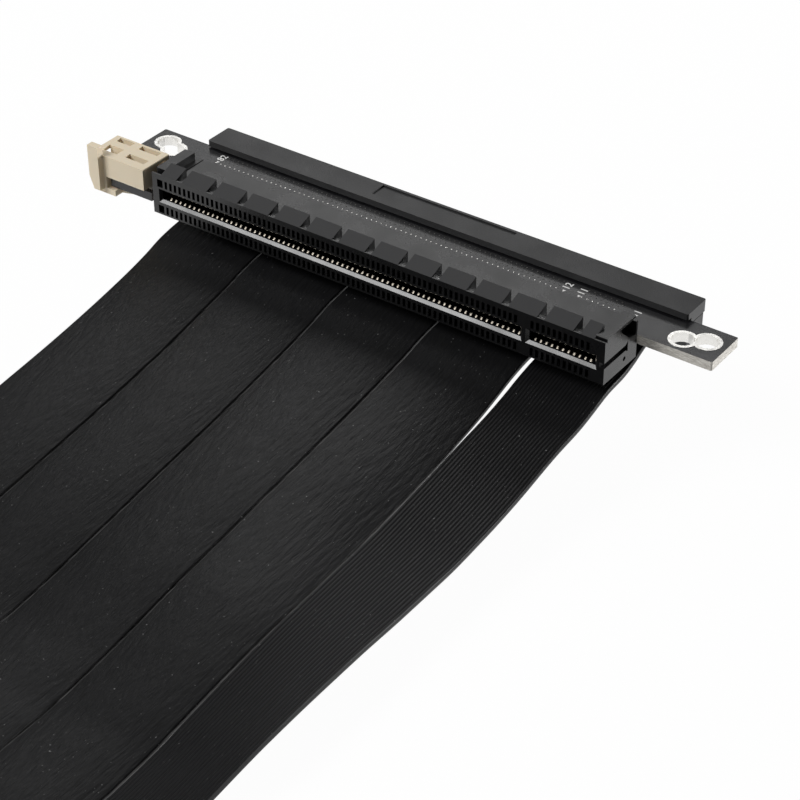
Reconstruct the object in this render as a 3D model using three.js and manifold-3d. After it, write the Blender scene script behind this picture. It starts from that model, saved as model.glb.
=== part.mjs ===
// A riser cable for a graphics card: a sixteen-lane card slot on a small board, five flat ribbons,
// and a card-edge plug that goes into the main board's own slot.
//
// Everything is modelled in the slot's frame, in millimetres: X runs along the slot from the latch end,
// Y runs from the slot's mouth to the back, Z is up, and Z 0 is the middle of the housing's front face.
// The last lines move it all so that the origin is under the middle of the part, on the table.

import * as THREE from "three";
import { mergeVertices } from "three/addons/utils/BufferGeometryUtils.js";
import Module from "manifold-3d";

const wasm = await Module();
wasm.setup();

// Contacts of the slot and of the plug
const PITCH = 1.0;
const POSITIONS = 82;
const SHORT_POSITIONS = 11;
const KEY_GAP = 2.0; // extra room between the two groups of contacts
const KEY_WIDTH = 1.6;
const END_TO_CONTACT = 3.0; // from either end of the housing to the middle of its nearest contact

// Slot housing
const HOUSING_LENGTH = 2 * END_TO_CONTACT + (POSITIONS - 1) * PITCH + KEY_GAP;
const HOUSING_DEPTH = 9.6;
const HOUSING_HALF_HEIGHT = 3.84;
const HOUSING_DECK_Z = 2.85; // the flat top behind the ramps
const SLOT_Z = -0.2;
const SLOT_HEIGHT = 1.68;
const SLOT_DEPTH = 8.0;
const SLOT_END_WALL = 1.8;
const LEAD_IN = 0.45; // the slant all round the slot's mouth
const WINDOW_WIDTH = 0.55;
const WINDOW_DEPTH = 1.0;
const WINDOW_HEIGHT = 1.45;
const WINDOW_ABOVE_SLOT = 2.35; // from the slot's middle to the middle of the upper row of windows
const WINDOW_BELOW_SLOT = 2.6;
const END_WINDOW_WIDTH = 1.2;
const CHANNEL_HEIGHT = 0.78; // room for the spring contacts above and below the slot
const CHANNEL_WALL = 0.15; // between a channel's front and the contacts' tips

// Ramps along the housing's top edge
const RAMP_PITCH = 6.5;
const RAMP_WIDTH = 5.2;
const RAMP_COUNT = 13;
const RAMP_FIRST_END = 5.25; // right side of the first ramp, which is a short one
const RAMP_DEPTH = 2.9;
const RAMP_TOP_Z = 4.9;
const RAIL_WIDTH = 2.1;
const RAIL_TOP_Z = 4.2;
const RAIL_FRONT_LEFT = 1.3;
const RAIL_FRONT_RIGHT = 0.6;
const RAIL_BACK = 8.8;
const END_GROOVE = { above: 0.3, below: 0.7, narrowTo: 6.2, back: 6.9, flare: 0.42, depth: 0.9 };
const END_HOLLOW = { front: 4.0, slantTo: 7.2, bottom: 0.5, slant: 0.4, wall: 0.45, depth: 1.6 };
const END_HOLE = { y: 6.0, drop: 2.05, radius: 0.4, depth: 1.0 };
const DECK_GROOVE_WIDTH = 0.25;
const DECK_GROOVE_X = 3.2;

// Spring contacts
const CONTACT_WIDTH = 0.5;
const CONTACT_THICKNESS = 0.3;
const CONTACT_TIP_Y = 0.95;
const CONTACT_TIP_SLOPE = 0.4;
const CONTACT_TIP_END = 0.8; // from the tip to where the contact turns back to its wall
const CONTACT_TIP_REACH = 0.12; // how far a contact's bend stands into the slot
const CONTACT_BAR_DEPTH = 1.0;

// Boards
const BOARD_THICKNESS = 1.6;
const BOARD_TOP_Z = -0.3;
const BOARD_TO_HOUSING = 0.3;
const BOARD_FRONT_GAP = 0.65; // behind the housing, where its contacts' tails come through
const BOARD_FRONT = HOUSING_DEPTH + BOARD_FRONT_GAP;
const BOARD_TAB_DEPTH = 8.25; // behind the housing
const BOARD_REAR_Y = BOARD_FRONT + BOARD_TAB_DEPTH;
const BOARD_TONGUE = 3.0; // the middle of the board runs on into the cover
const BOARD_TONGUE_Y = BOARD_REAR_Y + BOARD_TONGUE;
const BOARD_TONGUE_INSET = 1.5;
const LATCH_TAB = 12.9; // how far the board stands out past the housing at the latch end
const SCREW_TAB = 12.75;
const BOARD_CORNER = 0.2;
const ARM_LEFT = 9.4; // the arm that carries the latch, beside the housing
const ARM_FRONT_Y = -0.1;
const ARM_NECK_Y = 7.6;
const TOOTH_HOLE = { left: 2.6, right: 0.9, front: 0.9, back: 3.4 };

// Screw holes: each tab has a pair of plated holes that run into each other
const HOLE_RADIUS = 1.85;
const RIM_RADIUS = 2.4;
const RIM_BARREL = 0.2;
const RIM_PROUD = 0.06;
const RIM_CLEARANCE = 0.08;
const LATCH_TAB_HOLES = [
  [-9.5, BOARD_FRONT + 4.85],
  [-7.0, BOARD_FRONT + 3.45],
];
const SCREW_TAB_HOLES = [
  [6.0, BOARD_FRONT + 2.95],
  [9.45, BOARD_FRONT + 4.45],
];
const ROUND_SIDES = 18;

// Latch that holds the card
const LATCH_LEFT = -12.85;
const LATCH_RIGHT = -1.4;
const LATCH_FRONT = -0.7;
const LATCH_BACK = 6.1;
const LATCH_TOP_Z = 4.0;
const LATCH_CLEARANCE = 0.3; // over and under the board
// Windows of the latch's top, each as left, right, front and back
const LATCH_WINDOWS = [
  [-6.85, -2.6, 1.0, 2.35],
  [-11.8, -8.55, 0.95, 2.85],
  [-6.85, -2.6, 4.45, 5.65],
  [-11.8, -8.55, 4.45, 5.7],
];
const LATCH_TOP_PLATE = 0.7;
const LATCH_LEFT_OPENING = { front: 0.95, back: 4.4 };
const LATCH_RIGHT_OPENING = { front: 1.6, back: 5.65 };
const LATCH_WALL_X = -9.9;
const LATCH_WALL_BACK = 2.5;
const JAW_HEIGHT = 1.1;
const JAW_FRONT_RIGHT = -8.0;
const JAW_RIGHT = -5.5;
const JAW_BACK = 4.3;
const PRESS_TAB = {
  left: -12.7,
  right: -10.45,
  front: -1.8,
  top: 5.8,
  bottom: -2.45,
  chamfer: 0.9,
  chamferHeight: 2.4,
};
const PIN_X = -6.8;
const PIN_Y = 3.4;
const PIN_RADIUS = 0.6;
const PIN_HEAD_RADIUS = 1.1;
const PIN_HEAD = 0.4;
const PIN_TOP_Z = 2.4;
const PIN_CLEARANCE = 0.15;

// Covers over the ribbons' ends
const COVER_PAST_LATCH_END = 2.5;
const COVER_PAST_SCREW_END = 4.3;
const COVER_FRONT = BOARD_REAR_Y - 0.8;
const COVER_DEPTH = 5.6;
const COVER_TOP_Z = 1.1;
const COVER_BOTTOM_Z = -7.0;
const COVER_FRONT_WALL = 1.2;
const COVER_CORNER = 0.3;
const COVER_FIT = 0.3;
const PARTING_GAP = 0.12;
const LOWER_SET_BACK = 0.4; // the lower shell stands this far inside the upper one at the back
const LABEL_LEFT = 31.5;
const LABEL_LENGTH = 26.9;
const LABEL_WIDTH = 3.4;
const LABEL_FROM_BACK = 0.5;
const LABEL_DEPTH = 0.3;

// Ribbons
const RIBBON_THICKNESS = 1.0;
const RIBBON_EDGE = 0.28;
const RIBBON_GAP = 0.35;
const RIBBON_LEFT = 2.0; // from the housing's latch end
const RIBBON_RIGHT_INSET = 1.6; // from the housing's pin-one end
const LAST_RIBBON_WIDTH = 13.9;
const RIBBON_EXTRA = [0.275, 0.075, 0.175, -0.325]; // how the first four differ from an even share
const STEPS_PER_ROW = 2;
const RIBBON_END_Y = COVER_FRONT + 2.5;
const LAST_RIBBON_SPREAD = 0.65; // the last ribbon leaves the cover this much further out
const GROUND_BAR_DEPTH = 1.4;
const GROUND_BAR_FIT = 0.1;

// How the five ribbons lie, as one bent sheet: a place along the cable, then the height of the
// sheet's middle at the left edge of the first ribbon, at the four lines between the ribbons, and
// at the right edge of the last one, which tips up before it comes down on the table.
const FLAT_Z = -20.8;
const PLUG_RIBBON_Y = -204.2; // where the ribbons end in the plug
const PLUG_RIBBON_LIFT = 2.5;
const level = (y, z) => [y, z, z, z, z, z, z];
const SHEET = [
  level(RIBBON_END_Y, -4.0),
  level(17.0, -4.0),
  level(14.0, -4.5),
  level(11.0, -5.8),
  level(7.5, -6.8),
  level(3.5, -7.2),
  [-1.0, -8.0, -8.0, -7.9, -7.9, -8.1, -8.4],
  [-5.0, -9.3, -9.1, -9.0, -8.9, -9.3, -9.5],
  [-10.0, -10.6, -10.2, -10.2, -9.8, -10.7, -10.5],
  [-20.0, -12.6, -12.4, -12.1, -11.4, -12.7, -13.1],
  [-30.0, -14.2, -14.1, -13.8, -12.8, -14.2, -14.5],
  [-40.0, -15.5, -15.6, -15.3, -14.1, -15.4, -15.2],
  [-50.0, -16.8, -16.9, -16.8, -15.5, -16.0, -15.2],
  [-60.0, -18.0, -18.2, -18.3, -16.8, -16.6, -15.0],
  [-70.0, -19.1, -19.4, -19.8, -18.4, -17.6, -15.1],
  [-80.0, -20.0, -20.4, -20.7, -19.8, -18.9, -15.5],
  [-90.0, -20.6, FLAT_Z, FLAT_Z, -20.7, -20.2, -16.4],
  [-100.0, FLAT_Z, FLAT_Z, FLAT_Z, FLAT_Z, -20.7, -17.5],
  [-112.0, FLAT_Z, FLAT_Z, FLAT_Z, FLAT_Z, FLAT_Z, -19.2],
  [-126.0, FLAT_Z, FLAT_Z, FLAT_Z, FLAT_Z, FLAT_Z, -20.5],
  level(-140.0, FLAT_Z),
  level(PLUG_RIBBON_Y + 36.2, FLAT_Z),
  level(PLUG_RIBBON_Y + 26.2, FLAT_Z + 0.3),
  level(PLUG_RIBBON_Y + 18.2, FLAT_Z + 1.1),
  level(PLUG_RIBBON_Y + 11.2, FLAT_Z + 2.1),
  level(PLUG_RIBBON_Y + 5.2, FLAT_Z + PLUG_RIBBON_LIFT),
  level(PLUG_RIBBON_Y, FLAT_Z + PLUG_RIBBON_LIFT),
];
const SPREAD_OPEN_Y = -1.0; // the last ribbon comes back beside the others between these
const SPREAD_CLOSED_Y = -20.0;
const TABLE_Z = FLAT_Z - RIBBON_THICKNESS / 2 - 0.05;

// Plug end
const PLUG_COVER_DEPTH = 11.0;
const PLUG_RIBBON_IN_COVER = 4.2;
const PLUG_SHOULDER = 2.6; // board that shows between the cover and the contact edge
const PLUG_SHOULDER_INSET = 2.0;
const EDGE_DEPTH = 8.3;
const EDGE_PAST_CONTACT = 1.15;
const EDGE_BEVEL = 0.45;
const NOTCH_WIDTH = 1.9;
const NOTCH_DEPTH = 7.6;
const FINGER_LENGTH = 5.6;
const FINGER_FROM_EDGE = 0.6;
const FINGER_THICKNESS = 0.1;
const FINGER_PAST = 0.35;
const GRIP_COUNT = 5;
const GRIP_WIDTH = 0.6;
const GRIP_PITCH = 1.6;
const GRIP_DEPTH = 0.35;
const GRIP_END_GAP = 12.0;

// Finishes
const FINISHES = {
  housing: { color: 0x1b1b1c, roughness: 0.55, metalness: 0 },
  contact: { color: 0xd8b66a, roughness: 0.3, metalness: 1 },
  board: { color: 0x232324, roughness: 0.5, metalness: 0 },
  plating: { color: 0xd9d8d2, roughness: 0.35, metalness: 1 },
  latch: { color: 0xcfc6ae, roughness: 0.5, metalness: 0 },
  pin: { color: 0x9a9a98, roughness: 0.35, metalness: 1 },
  cover: { color: 0x262628, roughness: 0.7, metalness: 0 },
  ribbon: { color: 0x111112, roughness: 0.6, metalness: 0 },
};

// Solids

function solidFrom(geometry) {
  const bare = geometry.index ? geometry.toNonIndexed() : geometry.clone();
  bare.deleteAttribute("normal");
  bare.deleteAttribute("uv");
  const merged = mergeVertices(bare, 1e-4);
  return new wasm.Manifold(
    new wasm.Mesh({
      numProp: 3,
      vertProperties: merged.attributes.position.array,
      triVerts: new Uint32Array(merged.index.array),
    }),
  );
}

function geometryFrom(solid) {
  const { vertProperties, triVerts } = solid.getMesh();
  const geometry = new THREE.BufferGeometry();
  geometry.setAttribute("position", new THREE.BufferAttribute(vertProperties, 3));
  geometry.setIndex(new THREE.BufferAttribute(triVerts, 1));
  geometry.computeVertexNormals();
  return geometry;
}

function block(left, right, front, back, bottom, top) {
  const geometry = new THREE.BoxGeometry(right - left, back - front, top - bottom);
  geometry.translate((left + right) / 2, (front + back) / 2, (bottom + top) / 2);
  return solidFrom(geometry);
}

function rod(x, y, radius, bottom, top) {
  const geometry = new THREE.CylinderGeometry(radius, radius, top - bottom, ROUND_SIDES);
  geometry.rotateX(Math.PI / 2);
  geometry.translate(x, y, (bottom + top) / 2);
  return solidFrom(geometry);
}

function outline(points) {
  return new THREE.Shape(points.map(([a, b]) => new THREE.Vector2(a, b)));
}

// A shape drawn in Y and Z, run along X
function alongX(shape, left, right) {
  const geometry = new THREE.ExtrudeGeometry(shape, {
    depth: right - left,
    bevelEnabled: false,
    curveSegments: 6,
  });
  const turn = new THREE.Matrix4().makeBasis(
    new THREE.Vector3(0, 1, 0),
    new THREE.Vector3(0, 0, 1),
    new THREE.Vector3(1, 0, 0),
  );
  geometry.applyMatrix4(turn);
  geometry.translate(left, 0, 0);
  return solidFrom(geometry);
}

// A shape drawn in X and Y, run up from bottom to top
function alongZ(shape, bottom, top) {
  const geometry = new THREE.ExtrudeGeometry(shape, {
    depth: top - bottom,
    bevelEnabled: false,
    curveSegments: 4,
  });
  geometry.translate(0, 0, bottom);
  return solidFrom(geometry);
}

// A shape drawn in X and Z, run from front to back
function alongY(shape, front, back) {
  const geometry = new THREE.ExtrudeGeometry(shape, {
    depth: back - front,
    bevelEnabled: false,
    curveSegments: 4,
  });
  geometry.rotateX(Math.PI / 2);
  geometry.translate(0, back, 0);
  return solidFrom(geometry);
}

function rounded(left, right, front, back, radius) {
  const shape = new THREE.Shape();
  shape.moveTo(left + radius, front);
  shape.lineTo(right - radius, front);
  shape.absarc(right - radius, front + radius, radius, -Math.PI / 2, 0);
  shape.lineTo(right, back - radius);
  shape.absarc(right - radius, back - radius, radius, 0, Math.PI / 2);
  shape.lineTo(left + radius, back);
  shape.absarc(left + radius, back - radius, radius, Math.PI / 2, Math.PI);
  shape.lineTo(left, front + radius);
  shape.absarc(left + radius, front + radius, radius, Math.PI, Math.PI * 1.5);
  return shape;
}

function joined(solids) {
  return wasm.Manifold.union(solids);
}

const riser = new THREE.Group();

function add(name, shape, finish) {
  const geometry = shape instanceof THREE.BufferGeometry ? shape : geometryFrom(shape);
  const mesh = new THREE.Mesh(geometry, new THREE.MeshStandardMaterial(FINISHES[finish]));
  mesh.name = name;
  riser.add(mesh);
  return mesh;
}

// Contact places, counted from the latch end

const LONG_POSITIONS = POSITIONS - SHORT_POSITIONS;

function contactX(index) {
  const past = index >= LONG_POSITIONS ? KEY_GAP : 0;
  return END_TO_CONTACT + index * PITCH + past;
}

const KEY_X = (contactX(LONG_POSITIONS - 1) + contactX(LONG_POSITIONS)) / 2;
const SLOT_LEFT = SLOT_END_WALL;
const SLOT_RIGHT = HOUSING_LENGTH - SLOT_END_WALL;
const SLOT_PARTS = [
  { name: "long", left: SLOT_LEFT, right: KEY_X - KEY_WIDTH / 2, first: 0, count: LONG_POSITIONS },
  {
    name: "short",
    left: KEY_X + KEY_WIDTH / 2,
    right: SLOT_RIGHT,
    first: LONG_POSITIONS,
    count: SHORT_POSITIONS,
  },
];

// Slot housing

function housingSection() {
  const shape = new THREE.Shape();
  const lip = 0.3;
  shape.moveTo(0, -HOUSING_HALF_HEIGHT);
  shape.lineTo(HOUSING_DEPTH, -HOUSING_HALF_HEIGHT);
  shape.lineTo(HOUSING_DEPTH, HOUSING_DECK_Z);
  shape.lineTo(RAMP_DEPTH, HOUSING_DECK_Z);
  shape.quadraticCurveTo(RAMP_DEPTH / 3, HOUSING_DECK_Z, lip, HOUSING_HALF_HEIGHT);
  shape.lineTo(0, HOUSING_HALF_HEIGHT);
  return shape;
}

function ramp(left, right) {
  const section = outline([
    [0, HOUSING_DECK_Z - 0.2],
    [RAMP_DEPTH, HOUSING_DECK_Z - 0.2],
    [RAMP_DEPTH, RAMP_TOP_Z],
    [0, HOUSING_HALF_HEIGHT],
  ]);
  return alongX(section, left, right);
}

function slotMouth(part) {
  const low = SLOT_Z - SLOT_HEIGHT / 2;
  const high = SLOT_Z + SLOT_HEIGHT / 2;
  const side = outline([
    [-1, low - LEAD_IN],
    [0, low - LEAD_IN],
    [LEAD_IN, low],
    [LEAD_IN, high],
    [0, high + LEAD_IN],
    [-1, high + LEAD_IN],
  ]);
  const plan = outline([
    [part.left - LEAD_IN, -1],
    [part.right + LEAD_IN, -1],
    [part.right + LEAD_IN, 0],
    [part.right, LEAD_IN],
    [part.left, LEAD_IN],
    [part.left - LEAD_IN, 0],
  ]);
  const slants = alongX(side, part.left - LEAD_IN, part.right + LEAD_IN).intersect(
    alongZ(plan, low - LEAD_IN, high + LEAD_IN),
  );
  return joined([slants, block(part.left, part.right, LEAD_IN / 2, SLOT_DEPTH, low, high)]);
}

function contactChannels(part) {
  const reach = SLOT_HEIGHT / 2 + CHANNEL_HEIGHT;
  return block(
    contactX(part.first) - PITCH * 0.45,
    contactX(part.first + part.count - 1) + PITCH * 0.45,
    CONTACT_TIP_Y - CHANNEL_WALL,
    SLOT_DEPTH,
    SLOT_Z - reach,
    SLOT_Z + reach,
  );
}

function windows() {
  const cuts = [];
  for (const middle of [SLOT_Z + WINDOW_ABOVE_SLOT, SLOT_Z - WINDOW_BELOW_SLOT]) {
    const low = middle - WINDOW_HEIGHT / 2;
    const high = middle + WINDOW_HEIGHT / 2;
    for (let i = 0; i < POSITIONS; i += 1) {
      const x = contactX(i);
      cuts.push(block(x - WINDOW_WIDTH / 2, x + WINDOW_WIDTH / 2, -1, WINDOW_DEPTH, low, high));
    }
    const end = contactX(0) - PITCH + WINDOW_WIDTH / 2;
    cuts.push(block(end - END_WINDOW_WIDTH, end, -1, WINDOW_DEPTH, low, high));
  }
  return joined(cuts);
}

// The pin-one end of the housing: a groove beside the slot, a shadowed hollow under the end block
// and a small moulding hole.
function endFaceCuts() {
  const face = HOUSING_LENGTH;
  const groove = outline([
    [-1, SLOT_Z - END_GROOVE.below],
    [END_GROOVE.narrowTo, SLOT_Z - END_GROOVE.below],
    [END_GROOVE.back, SLOT_Z - END_GROOVE.below - END_GROOVE.flare],
    [END_GROOVE.back, SLOT_Z + END_GROOVE.above + END_GROOVE.flare],
    [END_GROOVE.narrowTo, SLOT_Z + END_GROOVE.above],
    [-1, SLOT_Z + END_GROOVE.above],
  ]);
  const hollow = outline([
    [END_HOLLOW.front, RAIL_TOP_Z - END_HOLLOW.wall],
    [HOUSING_DEPTH - END_HOLLOW.wall, RAIL_TOP_Z - END_HOLLOW.wall],
    [HOUSING_DEPTH - END_HOLLOW.wall, END_HOLLOW.bottom],
    [END_HOLLOW.slantTo, END_HOLLOW.bottom + END_HOLLOW.slant],
  ]);
  const hole = new THREE.CylinderGeometry(END_HOLE.radius, END_HOLE.radius, 2 * END_HOLE.depth, 12);
  hole.rotateZ(Math.PI / 2);
  hole.translate(face, END_HOLE.y, SLOT_Z - END_HOLE.drop);
  return joined([
    alongX(groove, face - END_GROOVE.depth, face + 1),
    alongX(hollow, face - END_HOLLOW.depth, face + 1),
    solidFrom(hole),
  ]);
}

function makeHousing() {
  const pieces = [alongX(housingSection(), 0, HOUSING_LENGTH)];
  for (let i = 0; i < RAMP_COUNT; i += 1) {
    const right = RAMP_FIRST_END + i * RAMP_PITCH;
    pieces.push(ramp(i === 0 ? RAIL_WIDTH - 0.1 : right - RAMP_WIDTH, right));
  }
  const lastRamp = RAMP_FIRST_END + RAMP_COUNT * RAMP_PITCH - RAMP_WIDTH;
  pieces.push(ramp(lastRamp, HOUSING_LENGTH - RAIL_WIDTH + 0.1));
  const rails = [
    [0, RAIL_FRONT_LEFT],
    [HOUSING_LENGTH - RAIL_WIDTH, RAIL_FRONT_RIGHT],
  ];
  for (const [left, front] of rails) {
    pieces.push(block(left, left + RAIL_WIDTH, front, RAIL_BACK, 0, RAIL_TOP_Z));
  }
  const cuts = [windows(), endFaceCuts()];
  for (const part of SLOT_PARTS) {
    cuts.push(slotMouth(part), contactChannels(part));
  }
  cuts.push(
    block(
      DECK_GROOVE_X,
      DECK_GROOVE_X + DECK_GROOVE_WIDTH,
      RAMP_DEPTH + 0.2,
      HOUSING_DEPTH + 1,
      HOUSING_DECK_Z - 0.25,
      HOUSING_DECK_Z + 1,
    ),
  );
  return joined(pieces).subtract(joined(cuts));
}

add("slot_housing", makeHousing(), "housing");

// Spring contacts: each row is a comb whose bar is held at the back of its channel

function contactSection(side) {
  const wall = SLOT_Z + side * (SLOT_HEIGHT / 2);
  const outer = wall + side * (CHANNEL_HEIGHT - 0.05);
  const inner = wall - side * CONTACT_TIP_REACH;
  const thick = side * CONTACT_THICKNESS;
  const back = SLOT_DEPTH - 0.05;
  return [
    [CONTACT_TIP_Y, inner + thick],
    [CONTACT_TIP_Y + CONTACT_TIP_SLOPE, inner],
    [CONTACT_TIP_Y + CONTACT_TIP_END, inner],
    [back - CONTACT_BAR_DEPTH, outer - thick],
    [back, outer - thick],
    [back, outer],
    [back - CONTACT_BAR_DEPTH, outer],
    [CONTACT_TIP_Y + CONTACT_TIP_END, inner + thick],
  ];
}

function contactComb(part, side) {
  const section = outline(contactSection(side));
  const pieces = [];
  for (let i = 0; i < part.count; i += 1) {
    const x = contactX(part.first + i);
    pieces.push(alongX(section, x - CONTACT_WIDTH / 2, x + CONTACT_WIDTH / 2));
  }
  const wall = SLOT_Z + side * (SLOT_HEIGHT / 2);
  const outer = wall + side * (CHANNEL_HEIGHT - 0.05);
  const inner = outer - side * CONTACT_THICKNESS;
  const back = SLOT_DEPTH - 0.05;
  pieces.push(
    block(
      contactX(part.first) - CONTACT_WIDTH / 2,
      contactX(part.first + part.count - 1) + CONTACT_WIDTH / 2,
      back - CONTACT_BAR_DEPTH,
      back,
      Math.min(inner, outer),
      Math.max(inner, outer),
    ),
  );
  return joined(pieces);
}

for (const part of SLOT_PARTS) {
  add(`slot_contacts_upper_${part.name}`, contactComb(part, 1), "contact");
  add(`slot_contacts_lower_${part.name}`, contactComb(part, -1), "contact");
}

// Slot board, with an arm beside the housing for the latch

const BOARD_BOTTOM_Z = BOARD_TOP_Z - BOARD_THICKNESS;
const BOARD_RIGHT = HOUSING_LENGTH + SCREW_TAB;
const TONGUE_LEFT = BOARD_TONGUE_INSET;
const TONGUE_RIGHT = HOUSING_LENGTH - BOARD_TONGUE_INSET;
const holes = [
  LATCH_TAB_HOLES,
  SCREW_TAB_HOLES.map(([x, y]) => [HOUSING_LENGTH + x, y]),
];

function makeBoard() {
  const shape = outline([
    [-ARM_LEFT, ARM_FRONT_Y],
    [-BOARD_TO_HOUSING, ARM_FRONT_Y],
    [-BOARD_TO_HOUSING, BOARD_FRONT],
    [BOARD_RIGHT - BOARD_CORNER, BOARD_FRONT],
    [BOARD_RIGHT, BOARD_FRONT + BOARD_CORNER],
    [BOARD_RIGHT, BOARD_REAR_Y - BOARD_CORNER],
    [BOARD_RIGHT - BOARD_CORNER, BOARD_REAR_Y],
    [TONGUE_RIGHT, BOARD_REAR_Y],
    [TONGUE_RIGHT, BOARD_TONGUE_Y],
    [TONGUE_LEFT, BOARD_TONGUE_Y],
    [TONGUE_LEFT, BOARD_REAR_Y],
    [-LATCH_TAB + BOARD_CORNER, BOARD_REAR_Y],
    [-LATCH_TAB, BOARD_REAR_Y - BOARD_CORNER],
    [-LATCH_TAB, ARM_NECK_Y],
    [-ARM_LEFT, ARM_NECK_Y],
  ]);
  const [under, over] = [BOARD_BOTTOM_Z - 1, BOARD_TOP_Z + 1];
  const cuts = holes.flat().map(([x, y]) => rod(x, y, HOLE_RADIUS + RIM_BARREL + RIM_CLEARANCE, under, over));
  cuts.push(rod(PIN_X, PIN_Y, PIN_RADIUS + PIN_CLEARANCE, under, over));
  cuts.push(
    block(-TOOTH_HOLE.left, -TOOTH_HOLE.right, TOOTH_HOLE.front, TOOTH_HOLE.back, under, over),
  );
  return alongZ(shape, BOARD_BOTTOM_Z, BOARD_TOP_Z).subtract(joined(cuts));
}

add("slot_board", makeBoard(), "board");

// Plated rims of the screw holes, each pair in one piece

function makeRims(pair) {
  const top = BOARD_TOP_Z + RIM_PROUD;
  const bottom = BOARD_BOTTOM_Z - RIM_PROUD;
  const barrel = joined(pair.map(([x, y]) => rod(x, y, HOLE_RADIUS + RIM_BARREL, bottom, top)));
  const flanges = [
    [BOARD_TOP_Z, top],
    [bottom, BOARD_BOTTOM_Z],
  ].map(([low, high]) => joined(pair.map(([x, y]) => rod(x, y, RIM_RADIUS, low, high))));
  const bore = joined(pair.map(([x, y]) => rod(x, y, HOLE_RADIUS, bottom - 1, top + 1)));
  return joined([barrel, ...flanges]).subtract(bore);
}

add("latch_tab_hole_rims", makeRims(holes[0]), "plating");
add("screw_tab_hole_rims", makeRims(holes[1]), "plating");

// Latch: a box over the arm with four windows, a wall round its end, a jaw under it and a press tab

const LATCH_BOX_BOTTOM = BOARD_TOP_Z + LATCH_CLEARANCE;
const JAW_TOP = BOARD_BOTTOM_Z - LATCH_CLEARANCE;
const JAW_BOTTOM = JAW_TOP - JAW_HEIGHT;

function makeLatch() {
  const box = block(LATCH_LEFT, LATCH_RIGHT, LATCH_FRONT, LATCH_BACK, LATCH_BOX_BOTTOM, LATCH_TOP_Z);
  const wall = block(
    LATCH_LEFT,
    LATCH_WALL_X,
    LATCH_FRONT,
    LATCH_WALL_BACK,
    JAW_BOTTOM,
    LATCH_BOX_BOTTOM + 0.5,
  );
  const jaw = outline([
    [LATCH_LEFT, LATCH_FRONT],
    [JAW_FRONT_RIGHT, LATCH_FRONT],
    [JAW_FRONT_RIGHT, 1.0],
    [JAW_RIGHT, 1.8],
    [JAW_RIGHT, JAW_BACK],
    [LATCH_LEFT + 1.5, JAW_BACK],
    [LATCH_LEFT, LATCH_WALL_BACK],
  ]);
  const tab = outline([
    [PRESS_TAB.left + PRESS_TAB.chamfer, PRESS_TAB.bottom],
    [PRESS_TAB.right, PRESS_TAB.bottom],
    [PRESS_TAB.right, PRESS_TAB.top],
    [PRESS_TAB.left, PRESS_TAB.top],
    [PRESS_TAB.left, PRESS_TAB.bottom + PRESS_TAB.chamferHeight],
  ]);
  const cuts = [rod(PIN_X, PIN_Y, PIN_RADIUS + PIN_CLEARANCE, JAW_BOTTOM - 1, PIN_TOP_Z + 0.3)];
  for (const [left, right, front, back] of LATCH_WINDOWS) {
    cuts.push(block(left, right, front, back, LATCH_BOX_BOTTOM - 1, LATCH_TOP_Z + 1));
  }
  const [windowLeft, windowRight] = [LATCH_WINDOWS[1][0], LATCH_WINDOWS[0][1]];
  const { front: leftFront, back: leftBack } = LATCH_LEFT_OPENING;
  const { front: rightFront, back: rightBack } = LATCH_RIGHT_OPENING;
  const under = LATCH_TOP_Z - LATCH_TOP_PLATE;
  cuts.push(
    block(LATCH_LEFT - 1, windowLeft + 0.1, leftFront, leftBack, LATCH_BOX_BOTTOM - 1, under),
    block(windowRight - 0.1, LATCH_RIGHT + 1, rightFront, rightBack, LATCH_BOX_BOTTOM - 1, under),
  );
  return joined([
    box,
    wall,
    alongZ(jaw, JAW_BOTTOM, JAW_TOP),
    alongY(tab, PRESS_TAB.front, LATCH_FRONT + 0.2),
  ]).subtract(joined(cuts));
}

add("retention_latch", makeLatch(), "latch");

const pin = joined([
  rod(PIN_X, PIN_Y, PIN_RADIUS, JAW_BOTTOM - PIN_CLEARANCE - PIN_HEAD, PIN_TOP_Z),
  rod(
    PIN_X,
    PIN_Y,
    PIN_HEAD_RADIUS,
    JAW_BOTTOM - PIN_CLEARANCE - PIN_HEAD,
    JAW_BOTTOM - PIN_CLEARANCE,
  ),
]);
add("latch_pin", pin, "pin");

// Ribbons

const RIBBONS_SPAN = HOUSING_LENGTH - RIBBON_LEFT - RIBBON_RIGHT_INSET;
const EVEN_RIBBON = (RIBBONS_SPAN - LAST_RIBBON_WIDTH) / RIBBON_EXTRA.length - RIBBON_GAP;
const ribbonWidths = [...RIBBON_EXTRA.map((extra) => EVEN_RIBBON + extra), LAST_RIBBON_WIDTH];
const ribbons = [];
let ribbonEdge = RIBBON_LEFT;
ribbonWidths.forEach((width, i) => {
  ribbons.push({ left: ribbonEdge, right: ribbonEdge + width, middle: ribbonEdge + width / 2, width });
  ribbonEdge += width + RIBBON_GAP;
});
const RIBBONS_RIGHT = ribbons[ribbons.length - 1].right;

// The sheet's slope at a row, chosen so that the curve never passes over or under its points
function sheetSlope(row, edge) {
  if (row === 0 || row === SHEET.length - 1) return 0;
  const [before, here, after] = [SHEET[row - 1], SHEET[row], SHEET[row + 1]];
  const arriving = (here[edge] - before[edge]) / (here[0] - before[0]);
  const leaving = (after[edge] - here[edge]) / (after[0] - here[0]);
  return arriving * leaving <= 0 ? 0 : (2 * arriving * leaving) / (arriving + leaving);
}

function sheetHeight(row, t, edge) {
  const [from, to] = [SHEET[row], SHEET[row + 1]];
  const span = to[0] - from[0];
  return (
    (2 * t ** 3 - 3 * t ** 2 + 1) * from[edge] +
    (t ** 3 - 2 * t ** 2 + t) * span * sheetSlope(row, edge) +
    (3 * t ** 2 - 2 * t ** 3) * to[edge] +
    (t ** 3 - t ** 2) * span * sheetSlope(row + 1, edge)
  );
}

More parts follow.
